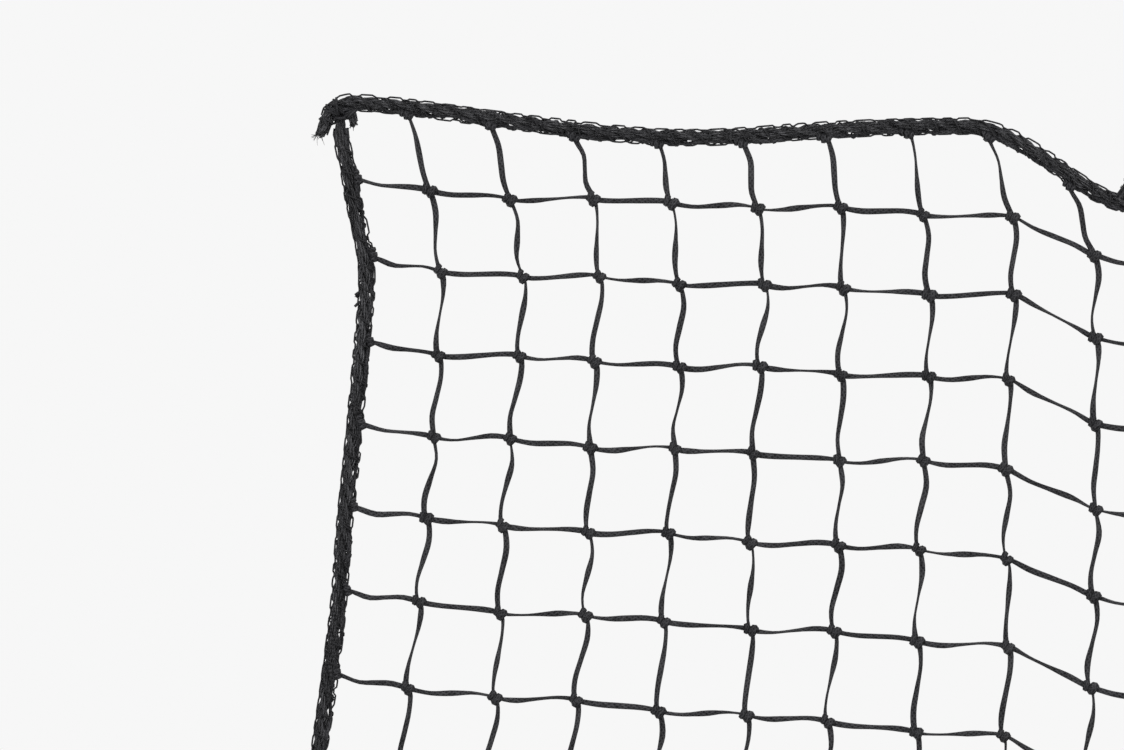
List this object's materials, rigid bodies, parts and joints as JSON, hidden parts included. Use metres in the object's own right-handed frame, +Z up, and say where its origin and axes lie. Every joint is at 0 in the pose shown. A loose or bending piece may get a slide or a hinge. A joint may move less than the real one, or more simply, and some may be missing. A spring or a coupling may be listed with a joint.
{
  "type": "cargo climbing net",
  "caption": "Knotted square-mesh net of flat braided twine, with a twisted border rope lashed on all round, hung by its top border.",
  "frame": {"origin": "centre of the top left corner knot, where the net is hung", "axes": "+X along the top border to the right, +Z up, the front of the hanging net faces -Y"},
  "size_m": [1.0476, 0.0164, 0.9128],
  "materials": {
    "twine": "satin",
    "border_rope": "matte",
    "lashing_thread": "satin"
  },
  "bodies": {
    "top_band": {"row_twine_01": "twine", "knots_1": "twine", "column_twines_1": "twine", "left_rope_1": "border_rope", "right_rope_1": "border_rope", "left_lashing_1": "lashing_thread", "right_lashing_1": "lashing_thread", "top_rope_1": "border_rope", "top_rope_2": "border_rope", "top_rope_3": "border_rope", "top_rope_4": "border_rope", "top_rope_5": "border_rope", "top_lashing": "lashing_thread", "corner_knot_top_left": "border_rope", "corner_knot_top_right": "border_rope", "rope_tails_top_left": "border_rope", "rope_tails_top_right": "border_rope"},
    "upper_band": {"row_twine_02": "twine", "row_twine_03": "twine", "row_twine_04": "twine", "row_twine_05": "twine", "knots_2": "twine", "column_twines_2": "twine", "left_rope_2": "border_rope", "right_rope_2": "border_rope", "left_lashing_2": "lashing_thread", "right_lashing_2": "lashing_thread"},
    "middle_band": {"row_twine_06": "twine", "row_twine_07": "twine", "row_twine_08": "twine", "row_twine_09": "twine", "knots_3": "twine", "column_twines_3": "twine", "left_rope_3": "border_rope", "right_rope_3": "border_rope", "left_lashing_3": "lashing_thread", "right_lashing_3": "lashing_thread"},
    "lower_band": {"row_twine_10": "twine", "row_twine_11": "twine", "row_twine_12": "twine", "row_twine_13": "twine", "knots_4": "twine", "column_twines_4": "twine", "left_rope_4": "border_rope", "right_rope_4": "border_rope", "left_lashing_4": "lashing_thread", "right_lashing_4": "lashing_thread"},
    "bottom_band": {"row_twine_14": "twine", "row_twine_15": "twine", "knots_5": "twine", "column_twines_5": "twine", "left_rope_5": "border_rope", "right_rope_5": "border_rope", "left_lashing_5": "lashing_thread", "right_lashing_5": "lashing_thread", "bottom_rope_1": "border_rope", "bottom_rope_2": "border_rope", "bottom_rope_3": "border_rope", "bottom_rope_4": "border_rope", "bottom_rope_5": "border_rope", "bottom_lashing": "lashing_thread", "corner_knot_bottom_left": "border_rope", "corner_knot_bottom_right": "border_rope", "rope_tails_bottom_left": "border_rope", "rope_tails_bottom_right": "border_rope"}
  },
  "joints": [
    {"name": "fold_1", "type": "hinge", "parent": "top_band", "child": "upper_band", "pos_m": [0.00827, 0, -0.07392], "axis": [0.9969, 0, -0.0791], "range_deg": [-75, 75]},
    {"name": "fold_2", "type": "hinge", "parent": "upper_band", "child": "middle_band", "pos_m": [-0.00187, 0, -0.27631], "axis": [0.9959, 0, -0.0904], "range_deg": [-75, 75]},
    {"name": "fold_3", "type": "hinge", "parent": "middle_band", "child": "lower_band", "pos_m": [-0.02027, 0, -0.48255], "axis": [0.9947, 0, -0.1023], "range_deg": [-75, 75]},
    {"name": "fold_4", "type": "hinge", "parent": "lower_band", "child": "bottom_band", "pos_m": [-0.00825, 0, -0.68255], "axis": [0.9947, 0, -0.1032], "range_deg": [-75, 75]}
  ]
}
